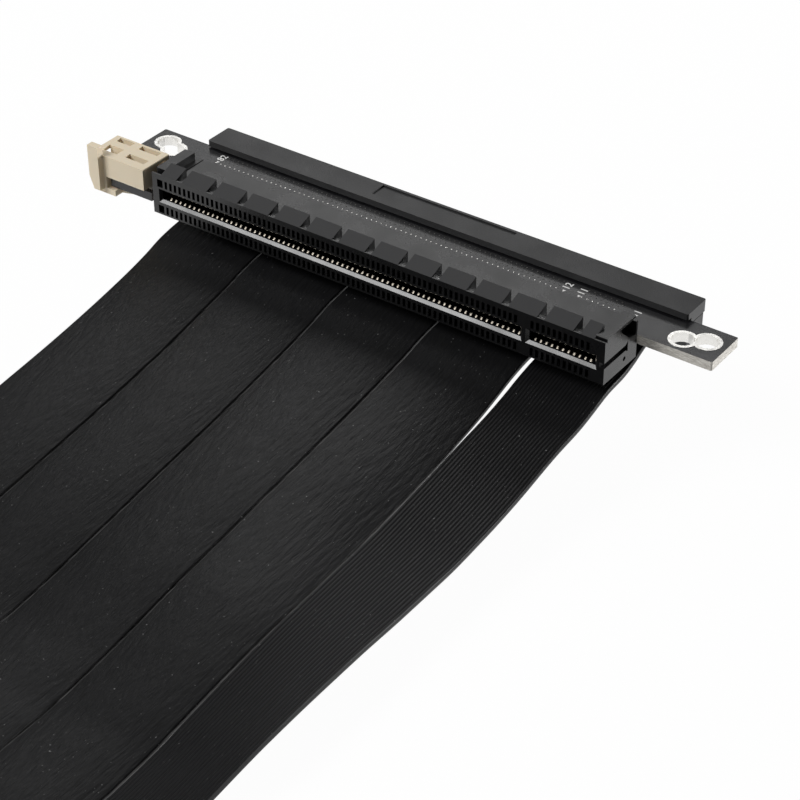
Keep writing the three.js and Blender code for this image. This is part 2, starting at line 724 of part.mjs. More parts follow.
function ribbonSection(width) {
  const half = width / 2;
  const thick = RIBBON_THICKNESS / 2;
  return [
    [-half + RIBBON_EDGE, -thick],
    [half - RIBBON_EDGE, -thick],
    [half, -thick + RIBBON_EDGE],
    [half, thick - RIBBON_EDGE],
    [half - RIBBON_EDGE, thick],
    [-half + RIBBON_EDGE, thick],
    [-half, thick - RIBBON_EDGE],
    [-half, -thick + RIBBON_EDGE],
  ];
}

// A flat strip laid along the sheet: one section per step, joined by side faces and two ends
function ribbonGeometry(ribbon, i) {
  const section = ribbonSection(ribbon.width);
  const spread = i === ribbons.length - 1 ? LAST_RIBBON_SPREAD : 0;
  const stations = [];
  for (let step = 0; step <= (SHEET.length - 1) * STEPS_PER_ROW; step += 1) {
    const row = Math.min(Math.floor(step / STEPS_PER_ROW), SHEET.length - 2);
    const t = step / STEPS_PER_ROW - row;
    const y = THREE.MathUtils.lerp(SHEET[row][0], SHEET[row + 1][0], t);
    const open = THREE.MathUtils.smoothstep(y, SPREAD_CLOSED_Y, SPREAD_OPEN_Y);
    const left = sheetHeight(row, t, i + 1);
    const right = sheetHeight(row, t, i + 2);
    stations.push({
      middle: new THREE.Vector3(ribbon.middle + spread * open, y, (left + right) / 2),
      rise: right - left,
    });
  }
  const places = [];
  stations.forEach(({ middle, rise }, step) => {
    const before = stations[Math.max(step - 1, 0)].middle;
    const after = stations[Math.min(step + 1, stations.length - 1)].middle;
    const along = new THREE.Vector3(0, after.y - before.y, after.z - before.z).normalize();
    const across = new THREE.Vector3(ribbon.width, 0, rise).normalize();
    const up = new THREE.Vector3().crossVectors(along, across).normalize();
    section.forEach(([u, v]) => {
      places.push(middle.clone().addScaledVector(across, u).addScaledVector(up, v));
    });
  });
  const faces = [];
  const n = section.length;
  for (let step = 0; step < stations.length - 1; step += 1) {
    for (let k = 0; k < n; k += 1) {
      const a = step * n + k;
      const b = step * n + ((k + 1) % n);
      faces.push(a, b, b + n, a, b + n, a + n);
    }
  }
  const last = (stations.length - 1) * n;
  for (let k = 1; k < n - 1; k += 1) {
    faces.push(0, k + 1, k);
    faces.push(last, last + k, last + k + 1);
  }
  const geometry = new THREE.BufferGeometry().setFromPoints(places);
  geometry.setIndex(faces);
  return geometry;
}

ribbons.forEach((ribbon, i) => {
  add(`ribbon_${i + 1}`, ribbonGeometry(ribbon, i), "ribbon");
});

// Metal bars that tie each ribbon's end to the underside of a board, hidden under the covers

function groundBars(place, boardBottom, ribbonZ, front, shift) {
  ribbons.forEach((ribbon, i) => {
    const aside = i === ribbons.length - 1 ? shift : 0;
    const bar = block(
      ribbon.left + aside,
      ribbon.right + aside,
      front,
      front + GROUND_BAR_DEPTH,
      ribbonZ + RIBBON_THICKNESS / 2 + GROUND_BAR_FIT,
      boardBottom - GROUND_BAR_FIT,
    );
    add(`${place}_ground_bar_${i + 1}`, bar, "plating");
  });
}

const SLOT_RIBBON_Z = SHEET[0][1];
groundBars("slot", BOARD_BOTTOM_Z, SLOT_RIBBON_Z, RIBBON_END_Y - GROUND_BAR_DEPTH, LAST_RIBBON_SPREAD);

// Slot cover: two shells that meet at the middle of the board's thickness

const COVER_LEFT = -COVER_PAST_LATCH_END;
const COVER_RIGHT = HOUSING_LENGTH + COVER_PAST_SCREW_END;
const COVER_BACK = COVER_FRONT + COVER_DEPTH;
const PARTING_Z = BOARD_TOP_Z - BOARD_THICKNESS / 2;

function boardRoom(low, high) {
  return joined([
    block(COVER_LEFT - 1, COVER_RIGHT + 1, COVER_FRONT - 1, BOARD_REAR_Y + COVER_FIT, low, high),
    block(
      TONGUE_LEFT - COVER_FIT,
      TONGUE_RIGHT + COVER_FIT,
      COVER_FRONT - 1,
      BOARD_TONGUE_Y + COVER_FIT,
      low,
      high,
    ),
  ]);
}

function makeSlotCoverUpper() {
  const shell = alongZ(
    rounded(COVER_LEFT, COVER_RIGHT, COVER_FRONT, COVER_BACK, COVER_CORNER),
    PARTING_Z + PARTING_GAP / 2,
    COVER_TOP_Z,
  );
  const labelBack = COVER_BACK - LABEL_FROM_BACK;
  const label = block(
    LABEL_LEFT,
    LABEL_LEFT + LABEL_LENGTH,
    labelBack - LABEL_WIDTH,
    labelBack,
    COVER_TOP_Z - LABEL_DEPTH,
    COVER_TOP_Z + 1,
  );
  return shell.subtract(joined([boardRoom(PARTING_Z - 1, BOARD_TOP_Z + COVER_FIT), label]));
}

function makeSlotCoverLower() {
  const shell = alongZ(
    rounded(COVER_LEFT, COVER_RIGHT, COVER_FRONT, COVER_BACK - LOWER_SET_BACK, COVER_CORNER),
    COVER_BOTTOM_Z,
    PARTING_Z - PARTING_GAP / 2,
  );
  const room = RIBBON_THICKNESS / 2 + COVER_FIT;
  const mouth = block(
    ribbons[0].left - COVER_FIT,
    RIBBONS_RIGHT + LAST_RIBBON_SPREAD + COVER_FIT,
    COVER_FRONT - 1,
    RIBBON_END_Y + COVER_FIT,
    SLOT_RIBBON_Z - room,
    SLOT_RIBBON_Z + room,
  );
  const bars = block(
    ribbons[0].left - COVER_FIT,
    RIBBONS_RIGHT + LAST_RIBBON_SPREAD + COVER_FIT,
    COVER_FRONT + COVER_FRONT_WALL - COVER_FIT,
    RIBBON_END_Y + COVER_FIT,
    SLOT_RIBBON_Z - room,
    PARTING_Z,
  );
  return shell.subtract(joined([boardRoom(BOARD_BOTTOM_Z - COVER_FIT, 1), mouth, bars]));
}

add("slot_cover_upper", makeSlotCoverUpper(), "cover");
add("slot_cover_lower", makeSlotCoverLower(), "cover");

// Plug end: the same layers as the slot end, set lower so that it lies on the table

const PLUG_DROP = TABLE_Z - COVER_BOTTOM_Z;
const PLUG_COVER_FRONT = PLUG_RIBBON_Y + PLUG_RIBBON_IN_COVER;
const PLUG_BOARD_TOP = BOARD_TOP_Z + PLUG_DROP;
const PLUG_BOARD_BOTTOM = BOARD_BOTTOM_Z + PLUG_DROP;
const PLUG_COVER_BACK = PLUG_COVER_FRONT - PLUG_COVER_DEPTH;
const PLUG_EDGE_Y = PLUG_COVER_BACK - PLUG_SHOULDER - EDGE_DEPTH;
const PLUG_RIBBON_Z = FLAT_Z + PLUG_RIBBON_LIFT;
const PLUG_BOARD_FRONT = PLUG_RIBBON_Y + GROUND_BAR_DEPTH + 0.4;
const EDGE_LEFT = contactX(0) - EDGE_PAST_CONTACT;
const EDGE_RIGHT = contactX(POSITIONS - 1) + EDGE_PAST_CONTACT;

function makePlugBoard() {
  const shoulderY = PLUG_EDGE_Y + EDGE_DEPTH;
  const left = COVER_LEFT + PLUG_SHOULDER_INSET;
  const right = COVER_RIGHT - PLUG_SHOULDER_INSET;
  const shape = outline([
    [left, PLUG_BOARD_FRONT],
    [left, shoulderY],
    [EDGE_LEFT, shoulderY],
    [EDGE_LEFT, PLUG_EDGE_Y],
    [KEY_X - NOTCH_WIDTH / 2, PLUG_EDGE_Y],
    [KEY_X - NOTCH_WIDTH / 2, PLUG_EDGE_Y + NOTCH_DEPTH],
    [KEY_X + NOTCH_WIDTH / 2, PLUG_EDGE_Y + NOTCH_DEPTH],
    [KEY_X + NOTCH_WIDTH / 2, PLUG_EDGE_Y],
    [EDGE_RIGHT, PLUG_EDGE_Y],
    [EDGE_RIGHT, shoulderY],
    [right, shoulderY],
    [right, PLUG_BOARD_FRONT],
  ]);
  const bevels = [PLUG_BOARD_TOP, PLUG_BOARD_BOTTOM].map((face) => {
    const inward = face === PLUG_BOARD_TOP ? -1 : 1;
    const section = outline([
      [PLUG_EDGE_Y - 1, face + inward * EDGE_BEVEL],
      [PLUG_EDGE_Y, face + inward * EDGE_BEVEL],
      [PLUG_EDGE_Y + EDGE_BEVEL * 1.2, face],
      [PLUG_EDGE_Y + EDGE_BEVEL * 1.2, face - inward],
      [PLUG_EDGE_Y - 1, face - inward],
    ]);
    return alongX(section, EDGE_LEFT - 1, EDGE_RIGHT + 1);
  });
  return alongZ(shape, PLUG_BOARD_BOTTOM, PLUG_BOARD_TOP).subtract(joined(bevels));
}

add("plug_board", makePlugBoard(), "board");

// Gold fields of the plug's contact edge, one for each group and face

for (const part of SLOT_PARTS) {
  const left = contactX(part.first) - FINGER_PAST;
  const right = contactX(part.first + part.count - 1) + FINGER_PAST;
  const front = PLUG_EDGE_Y + FINGER_FROM_EDGE;
  const back = front + FINGER_LENGTH;
  const top = block(left, right, front, back, PLUG_BOARD_TOP, PLUG_BOARD_TOP + FINGER_THICKNESS);
  const bottom = block(left, right, front, back, PLUG_BOARD_BOTTOM - FINGER_THICKNESS, PLUG_BOARD_BOTTOM);
  add(`plug_fingers_top_${part.name}`, top, "contact");
  add(`plug_fingers_bottom_${part.name}`, bottom, "contact");
}

groundBars("plug", PLUG_BOARD_BOTTOM, PLUG_RIBBON_Z, PLUG_RIBBON_Y, 0);

// Plug cover shells, with finger grips on the upper one

function plugShape() {
  return rounded(COVER_LEFT, COVER_RIGHT, PLUG_COVER_BACK, PLUG_COVER_FRONT, COVER_CORNER);
}

function plugBoardRoom(low, high) {
  return block(
    COVER_LEFT + PLUG_SHOULDER_INSET - COVER_FIT,
    COVER_RIGHT - PLUG_SHOULDER_INSET + COVER_FIT,
    PLUG_COVER_BACK - 1,
    PLUG_BOARD_FRONT + COVER_FIT,
    low,
    high,
  );
}

function makePlugCoverUpper() {
  const parting = PARTING_Z + PLUG_DROP;
  const top = COVER_TOP_Z + PLUG_DROP;
  const shell = alongZ(plugShape(), parting + PARTING_GAP / 2, top);
  const cuts = [plugBoardRoom(parting - 1, PLUG_BOARD_TOP + COVER_FIT)];
  const middle = (PLUG_COVER_FRONT + PLUG_COVER_BACK) / 2;
  for (let i = 0; i < GRIP_COUNT; i += 1) {
    const y = middle + (i - (GRIP_COUNT - 1) / 2) * GRIP_PITCH;
    cuts.push(
      block(
        COVER_LEFT + GRIP_END_GAP,
        COVER_RIGHT - GRIP_END_GAP,
        y - GRIP_WIDTH / 2,
        y + GRIP_WIDTH / 2,
        top - GRIP_DEPTH,
        top + 1,
      ),
    );
  }
  return shell.subtract(joined(cuts));
}

function makePlugCoverLower() {
  const parting = PARTING_Z + PLUG_DROP;
  const shell = alongZ(plugShape(), TABLE_Z, parting - PARTING_GAP / 2);
  const room = RIBBON_THICKNESS / 2 + COVER_FIT;
  const mouth = block(
    ribbons[0].left - COVER_FIT,
    RIBBONS_RIGHT + COVER_FIT,
    PLUG_RIBBON_Y - COVER_FIT,
    PLUG_COVER_FRONT + 1,
    PLUG_RIBBON_Z - room,
    PLUG_RIBBON_Z + room,
  );
  const bars = block(
    ribbons[0].left - COVER_FIT,
    RIBBONS_RIGHT + COVER_FIT,
    PLUG_RIBBON_Y - COVER_FIT,
    PLUG_RIBBON_Y + GROUND_BAR_DEPTH + COVER_FIT,
    PLUG_RIBBON_Z - room,
    parting,
  );
  return shell.subtract(joined([plugBoardRoom(PLUG_BOARD_BOTTOM - COVER_FIT, parting + 1), mouth, bars]));
}

add("plug_cover_upper", makePlugCoverUpper(), "cover");
add("plug_cover_lower", makePlugCoverLower(), "cover");

// The origin goes under the middle of the two ends, at the height of the table

const ends = new THREE.Box3();
for (const mesh of riser.children) {
  if (!mesh.name.startsWith("ribbon_")) ends.expandByObject(mesh);
}
const middle = ends.getCenter(new THREE.Vector3());
riser.position.set(-middle.x, -middle.y, -ends.min.z);

export default riser;
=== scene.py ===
"""The looks of a riser cable for a graphics card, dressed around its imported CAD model.

Places near the slot are given in millimetres in the slot's own frame: X along the slot from its
latch end, Y from the slot's mouth to the back, Z up from the middle of the housing's front.
"""

import math

import bmesh
import bpy
from mathutils import Matrix, Vector


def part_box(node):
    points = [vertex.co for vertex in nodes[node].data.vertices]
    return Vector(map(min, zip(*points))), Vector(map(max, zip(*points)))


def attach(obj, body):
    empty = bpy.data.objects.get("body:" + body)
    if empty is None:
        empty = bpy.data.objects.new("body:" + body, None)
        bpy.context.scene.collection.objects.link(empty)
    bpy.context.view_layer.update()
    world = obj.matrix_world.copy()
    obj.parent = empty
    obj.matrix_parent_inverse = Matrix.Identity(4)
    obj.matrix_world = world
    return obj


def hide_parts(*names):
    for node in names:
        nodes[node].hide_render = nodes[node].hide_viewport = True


MM = 0.001
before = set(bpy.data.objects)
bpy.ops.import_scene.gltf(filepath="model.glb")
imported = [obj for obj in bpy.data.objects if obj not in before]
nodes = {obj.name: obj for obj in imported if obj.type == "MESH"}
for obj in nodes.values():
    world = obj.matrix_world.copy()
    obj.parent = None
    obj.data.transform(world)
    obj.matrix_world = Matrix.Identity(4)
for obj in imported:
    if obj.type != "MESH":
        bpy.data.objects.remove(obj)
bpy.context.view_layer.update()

HOUSING_HALF_HEIGHT = 3.84
housing_low, housing_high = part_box("slot_housing")
SLOT_ORIGIN = housing_low + Vector((0, 0, HOUSING_HALF_HEIGHT * MM))


def slot_point(x, y, z):
    """A point of the slot's frame, in millimetres, as a place in the scene, in metres."""
    return SLOT_ORIGIN + Vector((x, y, z)) * MM


# Camera: the photograph's own, worked out from the slot's contacts

CAMERA_PLACE = (229.403, -248.319, 194.865)
CAMERA_RIGHT = Vector((0.813378, 0.581731, -0.002328))
CAMERA_DOWN = Vector((0.335133, -0.471849, -0.815503))
CAMERA_AHEAD = Vector((-0.475501, 0.662532, -0.578749))
LENS_MM = 103.02
SENSOR_MM = 36.0

camera_data = bpy.data.cameras.new("camera")
camera_data.lens = LENS_MM
camera_data.sensor_width = SENSOR_MM
camera = bpy.data.objects.new("camera", camera_data)
turn = Matrix((CAMERA_RIGHT, -CAMERA_DOWN, -CAMERA_AHEAD)).transposed().to_4x4()
camera.matrix_world = Matrix.Translation(slot_point(*CAMERA_PLACE)) @ turn
bpy.context.scene.collection.objects.link(camera)
bpy.context.scene.camera = camera
bpy.context.scene.view_settings.view_transform = "Standard"


# Materials

FIRST_CONTACT_X = 3.0  # the first contact's middle, from the slot's left end
CONTACT_PITCH = 1.0
CROWN_END_Y = 1.28  # the plated crowns of the slot's contacts end here
CROWN_HIGHLIGHT_HALF = 0.08  # from a crown's middle line to where its painted highlight starts to fade into painted shade
# where the painted shade at a crown's sides is full
CROWN_SHADE_FROM = 0.17
FILM_IOR = 1.35  # below that of real PET, about 1.6, which keeps its sheen as dim as in the photo
RAMP_FOOT_Z = 2.0  # the housing's slanting faces above this are its ramps, not the slot's lead-in


def linear(colour):
    """A hex colour as it is seen, such as '1b1b1c', turned to Blender's linear values."""
    parts = [int(colour[i : i + 2], 16) / 255 for i in (0, 2, 4)]
    parts = [p / 12.92 if p <= 0.04045 else ((p + 0.055) / 1.055) ** 2.4 for p in parts]
    return (*parts, 1.0)


def add(tree, kind, settings=None, **inputs):
    """Adds a node. Inputs go by name, with _ for a space, or by i and their number."""
    made = tree.nodes.new("ShaderNode" + kind)
    for name, value in (settings or {}).items():
        setattr(made, name, value)
    for name, value in inputs.items():
        key = int(name[1:]) if name[0] == "i" and name[1:].isdigit() else name.replace("_", " ")
        if isinstance(value, bpy.types.NodeSocket):
            tree.links.new(value, made.inputs[key])
        else:
            made.inputs[key].default_value = value
    return made


def start_material(name, **shader):
    """A new material with its surface shader and output, ready for its pattern."""
    made = bpy.data.materials.new(name)
    made.use_nodes = True
    tree = made.node_tree
    tree.nodes.clear()
    surface = add(tree, "BsdfPrincipled", **shader)
    add(tree, "OutputMaterial", Surface=surface.outputs[0])
    return made, tree, surface


def object_places(tree, stretch=(1, 1, 1)):
    """Places on the piece in metres, stretched per axis."""
    where = add(tree, "TexCoord").outputs["Object"]
    return add(tree, "Mapping", Vector=where, Scale=stretch).outputs[0]


def grain(tree, size_mm, stretch=(1, 1, 1), detail=2.0, roughness=0.5):
    """Noise whose grains are size_mm across."""
    return add(
        tree,
        "TexNoise",
        Vector=object_places(tree, stretch),
        Scale=1 / (size_mm * MM),
        Detail=detail,
        Roughness=roughness,
    ).outputs["Fac"]


def spread(tree, value, low, high, start=0.3, end=0.7):
    """Maps a pattern's middle range to low..high."""
    return add(
        tree,
        "MapRange",
        Value=value,
        From_Min=start,
        From_Max=end,
        To_Min=low,
        To_Max=high,
    ).outputs[0]


def tinted(tree, value, first, second):
    """A colour between two hex colours, by a pattern."""
    return add(
        tree,
        "Mix",
        {"data_type": "RGBA"},
        i0=value,
        i6=linear(first),
        i7=linear(second),
    ).outputs[2]


def bumped(tree, surface, height, depth_mm):
    """Raises the surface by a pattern, up to depth_mm."""
    bump = add(tree, "Bump", Strength=1.0, Distance=depth_mm * MM, Height=height)
    tree.links.new(bump.outputs[0], surface.inputs["Normal"])


def moulded_plastic(name, dark, pale, roughness, grain_mm, depth_mm):
    """Injection-moulded plastic: a fine spark-eroded grain and a faint mottle of tone."""
    made, tree, surface = start_material(name, IOR=1.5)
    mottle = grain(tree, 6.0, detail=4.0)
    tree.links.new(tinted(tree, mottle, dark, pale), surface.inputs["Base Color"])
    fine = grain(tree, grain_mm, detail=3.0)
    uneven = spread(tree, mottle, roughness - 0.05, roughness + 0.06)
    tree.links.new(uneven, surface.inputs["Roughness"])
    bumped(tree, surface, fine, depth_mm)
    return made


# Glass-filled polyamide, moulded: even dark grey-black with a soft sheen
slot_plastic = moulded_plastic("moulded_black_polyamide", "0c0c0d", "101011", 0.28, 0.16, 0.012)

# The same moulding on its ramps, with a matt grain and a paler colour that is a painted sheen for
# the light these up-facing slopes catch: the tone is set
ramp_plastic_painted_paler = moulded_plastic("matt_black_polyamide_painted_paler", "2b2b2c", "313132", 0.6, 0.16, 0.012)

# ABS cover shells, moulded against a fine eroded tool: dull, with a grain that can just be seen
cover_plastic = moulded_plastic("grained_black_abs", "1e1e1f", "252526", 0.42, 0.3, 0.03)

# Natural polyamide, moulded: warm ivory, a little light goes into it
latch_plastic = moulded_plastic("moulded_ivory_polyamide", "ddcfb6", "e4d6bc", 0.48, 0.25, 0.012)
latch_surface = latch_plastic.node_tree.nodes["Principled BSDF"]
latch_surface.inputs["Subsurface Weight"].default_value = 0.12
latch_surface.inputs["Subsurface Radius"].default_value = (0.0012, 0.0009, 0.0005)
latch_surface.inputs["Subsurface Scale"].default_value = 0.6


def solder_mask():
    """Black solder mask over copper: satin, slightly uneven over the board's weave."""
    made, tree, surface = start_material("black_solder_mask", IOR=1.5)
    mottle = grain(tree, 4.0, detail=5.0)
    tree.links.new(tinted(tree, mottle, "131315", "1a1a1c"), surface.inputs["Base Color"])
    tree.links.new(spread(tree, mottle, 0.22, 0.3), surface.inputs["Roughness"])
    weave = grain(tree, 0.35)
    bumped(tree, surface, weave, 0.012)
    return made


def board_core():
    """Cut edge of a glass-epoxy board: pale grey-brown, with the cloth's plies as fine lines."""
    made, tree, surface = start_material("routed_glass_epoxy", IOR=1.55, Roughness=0.72)
    plies = grain(tree, 0.9, stretch=(1, 1, 6), detail=5.0, roughness=0.7)
    flecks = spread(tree, plies, 0.0, 1.0, 0.35, 0.68)
    tree.links.new(tinted(tree, flecks, "a29d95", "e9e6df"), surface.inputs["Base Color"])
    bumped(tree, surface, plies, 0.05)
    return made


def tinned_copper():
    """Tinned copper: bright and silvery, slightly wavy from the hot air that levelled it."""
    made, tree, surface = start_material("tinned_copper", Metallic=1.0)
    waves = grain(tree, 0.8)
    tree.links.new(tinted(tree, waves, "e6e4df", "f4f3f0"), surface.inputs["Base Color"])
    tree.links.new(spread(tree, waves, 0.22, 0.36), surface.inputs["Roughness"])
    bumped(tree, surface, waves, 0.02)
    return made


def gold_plate():
    """Hard gold over nickel: pale and warm, softly polished along the finger."""
    made, tree, surface = start_material("gold_plate", Metallic=1.0)
    lines = grain(tree, 0.2, stretch=(1, 0.15, 1))
    tree.links.new(tinted(tree, lines, "d9b878", "f1d9a2"), surface.inputs["Base Color"])
    tree.links.new(spread(tree, lines, 0.3, 0.4), surface.inputs["Roughness"])
    return made


def contact_crown_painted_highlight():
    """The plated crown of a spring contact, with a painted highlight: pale down its middle, and
    painted dark towards its sides as shade.
    """
    made, tree, surface = start_material("plated_contact_crown_painted_highlight", Metallic=1.0)
    place = add(tree, "SeparateXYZ", Vector=add(tree, "TexCoord").outputs["Object"])
    first_x = slot_point(FIRST_CONTACT_X, 0, 0).x
    along = add(tree, "Math", {"operation": "SUBTRACT"}, i0=place.outputs["X"], i1=first_x)
    half_pitch = CONTACT_PITCH / 2 * MM
    aside = add(tree, "Math", {"operation": "PINGPONG"}, i0=along.outputs[0], i1=half_pitch)
    dull = add(
        tree,
        "MapRange",
        Value=aside.outputs[0],
        From_Min=CROWN_HIGHLIGHT_HALF * MM,
        From_Max=CROWN_SHADE_FROM * MM,
    )
    # The pale plating down the middle is a painted highlight; the dark bronze at the sides is
    # painted shade
    plated = tinted(tree, grain(tree, 0.2), "8a8479", "a59e92")
    shaded_bronze = linear("1a1815")
    colour = add(tree, "Mix", {"data_type": "RGBA"}, i0=dull.outputs[0], i6=plated, i7=shaded_bronze)
    tree.links.new(colour.outputs[2], surface.inputs["Base Color"])
    tree.links.new(spread(tree, grain(tree, 0.3), 0.3, 0.42), surface.inputs["Roughness"])
    return made


def contact_spring_painted_dark():
    """The rest of a spring contact: bare phosphor bronze, dull, and painted dark for the shade it
    lies in within its slot.
    """
    made, tree, surface = start_material("phosphor_bronze_painted_dark", Metallic=1.0)
    # Near-black bronze: painted shade of the slot around it
    tone = tinted(tree, grain(tree, 0.5), "1a1815", "24211c")
    tree.links.new(tone, surface.inputs["Base Color"])
    tree.links.new(spread(tree, grain(tree, 0.3), 0.4, 0.52), surface.inputs["Roughness"])
    return made


def turned_steel():
    """Turned steel pin: grey, with fine rings round it."""
    made, tree, surface = start_material("turned_steel", Metallic=1.0)
    rings = grain(tree, 0.12, stretch=(0.2, 0.2, 1), detail=1.0)
    tree.links.new(tinted(tree, rings, "8f8f8d", "b3b3b1"), surface.inputs["Base Color"])
    tree.links.new(spread(tree, rings, 0.3, 0.42), surface.inputs["Roughness"])
    return made


def mask_over_copper_painted_highlight():
    """Black mask over raised copper rings, thin there; its paler grey is a painted highlight for the
    light these small domes catch.
    """
    made, tree, surface = start_material("thin_mask_on_copper_painted_highlight", IOR=1.5)
    mottle = grain(tree, 0.5, detail=3.0)
    tree.links.new(tinted(tree, mottle, "3c3b3a", "5a5957"), surface.inputs["Base Color"])
    tree.links.new(spread(tree, mottle, 0.3, 0.4), surface.inputs["Roughness"])
    return made


def marking_ink():
    """White epoxy ink, screen-printed: matt, a little thin in places."""
    made, tree, surface = start_material("white_screen_ink", Roughness=0.6)
    thin = grain(tree, 0.25, detail=3.0)
    tree.links.new(tinted(tree, thin, "e9e9e6", "fbfbfa"), surface.inputs["Base Color"])
    bumped(tree, surface, thin, 0.01)
    return made


def cable_film(name, stroke_depth_mm):
    """Black PET film over a row of wires: satin, with faint long strokes and specks of dust."""
    made, tree, surface = start_material(name, IOR=FILM_IOR)
    strokes = grain(tree, 0.7, stretch=(1, 0.13, 1), detail=3.0, roughness=0.6)
    patches = grain(tree, 22.0)
    film = tinted(tree, patches, "111112", "161617")
    specks = spread(tree, grain(tree, 0.33, detail=1.0, roughness=0.3), 0.0, 1.0, 0.765, 0.825)
    dusty = add(tree, "Mix", {"data_type": "RGBA"}, i0=specks, i6=film, i7=linear("7c7c7c"))
    tree.links.new(dusty.outputs[2], surface.inputs["Base Color"])
    tree.links.new(spread(tree, strokes, 0.36, 0.44), surface.inputs["Roughness"])
    bumped(tree, surface, strokes, stroke_depth_mm)
    return made


board_mask = solder_mask()
board_edge = board_core()
tinned = tinned_copper()
gold = gold_plate()
crown_plating_and_highlight = contact_crown_painted_highlight()
bronze_in_painted_shade = contact_spring_painted_dark()
steel = turned_steel()
masked_copper_and_highlight = mask_over_copper_painted_highlight()
ink = marking_ink()
smooth_film = cable_film("black_pet_film", 0.16)
ribbed_film = cable_film("black_ribbed_film", 0.012)


def dress(name, *materials):
    """Gives a CAD node its materials."""
    held = nodes[name].data
    held.materials.clear()
    for material in materials:
        held.materials.append(material)


BEVEL_ANGLE = 40  # edges that turn by more than this are rounded


def bevel(name, width_mm, segments=2):
    """Rounds a CAD node's sharp edges, as moulding or cutting leaves them."""
    made = nodes[name].modifiers.new("rounded_edges", "BEVEL")
    made.width = width_mm * MM
    made.segments = segments
    made.limit_method = "ANGLE"
    made.angle_limit = math.radians(BEVEL_ANGLE)
    made.harden_normals = True
    made.use_clamp_overlap = True


def give_second(name, belongs):
    """Gives the second material to each face whose normal and middle pass the test."""
    piece = nodes[name]
    for face in piece.data.polygons:
        face.material_index = int(belongs(face.normal, piece.matrix_world @ face.center))


crown_end = slot_point(0, CROWN_END_Y, 0).y
ramp_foot = slot_point(0, 0, RAMP_FOOT_Z).z

for name in nodes:
    if "contacts" in name:
        dress(name, bronze_in_painted_shade, crown_plating_and_highlight)
        # Up-facing faces near the mouth take the plated crown, with its painted highlight
        give_second(name, lambda n, at: n.z > 0.3 and n.y < 0.2 and at.y < crown_end)
    elif "fingers" in name:
        dress(name, gold)
    elif "rims" in name or "ground_bar" in name:
        dress(name, tinned)
    elif "cover" in name:
        dress(name, cover_plastic)
# The ramps' up- and front-facing slopes take the paler copy of the plastic, a painted sheen
dress("slot_housing", slot_plastic, ramp_plastic_painted_paler)
give_second("slot_housing", lambda n, at: 0.3 < n.z < 0.97 and n.y < -0.2 and at.z > ramp_foot)
dress("retention_latch", latch_plastic)
dress("latch_pin", steel)
for name in ("slot_board", "plug_board"):
    dress(name, board_mask, board_edge)
    give_second(name, lambda n, at: abs(n.z) <= 0.5)
# The front edge of the arm under the latch gets the black mask in place of the pale core: painted
# shade, for the latch's shadow on it
arm = nodes["slot_board"]
for face in arm.data.polygons:
    if face.normal.y < -0.5 and (arm.matrix_world @ face.center).x < SLOT_ORIGIN.x:
        face.material_index = 0

bevel("retention_latch", 0.16, 3)
for name in ("slot_cover_upper", "slot_cover_lower", "plug_cover_upper", "plug_cover_lower"):
    bevel(name, 0.12)
bevel("slot_housing", 0.06, 1)
for name in ("slot_board", "plug_board"):
    bevel(name, 0.05, 1)


# Ribbons: the bent sheet of part.mjs, in the slot's frame

FLAT_Z = -20.8
PLUG_RIBBON_Y = -204.2
PLUG_RIBBON_LIFT = 2.5
RIBBON_END_Y = 20.2
RIBBON_THICKNESS = 1.0
RIBBON_GAP = 0.35
RIBBON_LEFT = 2.0
RIBBON_WIDTHS = (17.8, 17.6, 17.7, 17.2, 13.9)


def level(y, z):
    """A row of the sheet that has one height from edge to edge."""
    return (y, z, z, z, z, z, z)


# A place along the cable, then the height of the sheet's middle at the first ribbon's left edge, at
# the four lines between the ribbons and at the last one's right edge
SHEET = (
    level(RIBBON_END_Y, -4.0),
    level(17.0, -4.0),
    level(14.0, -4.5),
    level(11.0, -5.8),
    level(7.5, -6.8),
    level(3.5, -7.2),
    (-1.0, -8.0, -8.0, -7.9, -7.9, -8.1, -8.4),
    (-5.0, -9.3, -9.1, -9.0, -8.9, -9.3, -9.5),
    (-10.0, -10.6, -10.2, -10.2, -9.8, -10.7, -10.5),
    (-20.0, -12.6, -12.4, -12.1, -11.4, -12.7, -13.1),
    (-30.0, -14.2, -14.1, -13.8, -12.8, -14.2, -14.5),
    (-40.0, -15.5, -15.6, -15.3, -14.1, -15.4, -15.2),
    (-50.0, -16.8, -16.9, -16.8, -15.5, -16.0, -15.2),
    (-60.0, -18.0, -18.2, -18.3, -16.8, -16.6, -15.0),
    (-70.0, -19.1, -19.4, -19.8, -18.4, -17.6, -15.1),
    (-80.0, -20.0, -20.4, -20.7, -19.8, -18.9, -15.5),
    (-90.0, -20.6, FLAT_Z, FLAT_Z, -20.7, -20.2, -16.4),
    (-100.0, FLAT_Z, FLAT_Z, FLAT_Z, FLAT_Z, -20.7, -17.5),
    (-112.0, FLAT_Z, FLAT_Z, FLAT_Z, FLAT_Z, FLAT_Z, -19.2),
    (-126.0, FLAT_Z, FLAT_Z, FLAT_Z, FLAT_Z, FLAT_Z, -20.5),
    level(-140.0, FLAT_Z),
    level(PLUG_RIBBON_Y + 36.2, FLAT_Z),
    level(PLUG_RIBBON_Y + 26.2, FLAT_Z + 0.3),
    level(PLUG_RIBBON_Y + 18.2, FLAT_Z + 1.1),
    level(PLUG_RIBBON_Y + 11.2, FLAT_Z + 2.1),
    level(PLUG_RIBBON_Y + 5.2, FLAT_Z + PLUG_RIBBON_LIFT),
    level(PLUG_RIBBON_Y, FLAT_Z + PLUG_RIBBON_LIFT),
)
LAST_RIBBON_SPREAD = 0.65  # the last ribbon leaves the slot end this much further out
SPREAD_OPEN_Y = -1.0
SPREAD_CLOSED_Y = -20.0
STEP_MM = 1.6  # between the rings of a ribbon's mesh
RIB_PITCH = 0.595  # of the wires that show through the last ribbon's film
